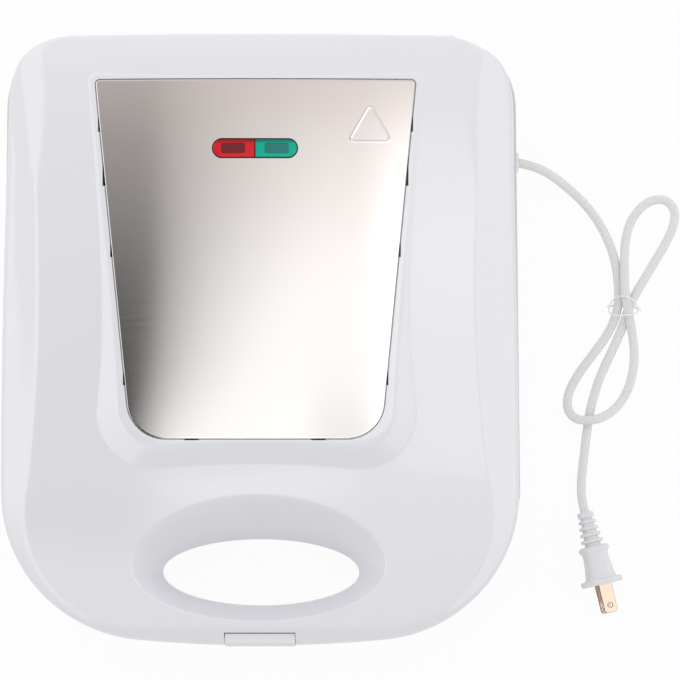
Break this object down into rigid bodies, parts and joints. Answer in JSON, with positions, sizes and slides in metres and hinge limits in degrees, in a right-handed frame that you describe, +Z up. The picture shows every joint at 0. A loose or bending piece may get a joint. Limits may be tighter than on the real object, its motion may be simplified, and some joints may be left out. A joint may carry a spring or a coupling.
{
  "type": "mini donut maker",
  "caption": "Closed countertop donut maker: white hinged lid with a brushed steel inlay, pilot light, hand hole and front catch, and a folded mains cord.",
  "frame": {"origin": "middle of the appliance's footprint, on the surface that it stands on; the cord and plug are left out", "axes": "+X to the appliance's right, where the cord leaves; +Y to the hinge at the rear; +Z up"},
  "size_m": [0.3961, 0.351, 0.1027],
  "materials": {
    "white_casing": "moulded, satin gloss",
    "brushed_inlay": "brushed along the width",
    "red_lens": "clear tinted moulding",
    "green_lens": "clear tinted moulding",
    "off_white_catch": "moulded, satin gloss",
    "cord_sheath": "extruded soft vinyl, semi-matt",
    "tie_coat": "thin coat on wire",
    "plug_moulding": "moulded soft vinyl, semi-matt",
    "plug_metal": "pale plated strip",
    "plate_coating": "cast, dark non-stick coat",
    "element_sheath": "oxidised tube",
    "pan_sheet": "rolled sheet",
    "fastener_steel": "zinc plated",
    "foot_rubber": "moulded",
    "inner_moulding": "moulded, heat resistant",
    "lamp_glass": "blown bulb",
    "control_body": "pressed phenolic",
    "fuse_sleeve": "woven glass-fibre sleeve",
    "lead_cover": "silicone cover"
  },
  "bodies": {
    "base": {"base_shell": "white_casing", "bottom_cover": "white_casing", "cover_screws": "fastener_steel", "base_deck": "white_casing", "deck_screws": "fastener_steel", "lower_plate": "plate_coating", "lower_plate_screws": "fastener_steel", "lower_heater": "element_sheath", "lower_reflector": "pan_sheet", "terminal_block": "inner_moulding", "thermal_fuse": "fuse_sleeve", "base_wiring": "lead_cover", "feet": "foot_rubber", "foot_screws": "fastener_steel", "hinge_pins": "fastener_steel", "cord_gland": "plug_moulding", "power_cord": "cord_sheath", "cord_tie": "tie_coat", "plug_body": "plug_moulding", "plug_blades": "plug_metal", "hinge_leads": "fuse_sleeve"},
    "lid": {"lid_shell": "white_casing", "steel_panel": "brushed_inlay", "red_lens": "red_lens", "green_lens": "green_lens", "lens_holder": "inner_moulding", "pilot_lamps": "lamp_glass", "lid_liner": "white_casing", "liner_screws": "fastener_steel", "upper_plate": "plate_coating", "upper_plate_screws": "fastener_steel", "upper_heater": "element_sheath", "upper_reflector": "pan_sheet", "thermostat": "control_body", "lid_wiring": "lead_cover", "latch_pin": "fastener_steel"},
    "latch": {"latch": "off_white_catch"}
  },
  "joints": [
    {"name": "lid_hinge", "type": "hinge", "parent": "base", "child": "lid", "pos_m": [0, 0.1705, 0.0515], "axis": [-1, 0, 0], "range_deg": [0, 100], "deforming": ["hinge_leads"]},
    {"name": "latch_pivot", "type": "hinge", "parent": "lid", "child": "latch", "pos_m": [0, -0.1704, 0.0606], "axis": [-1, 0, 0], "range_deg": [-5, 20]}
  ]
}
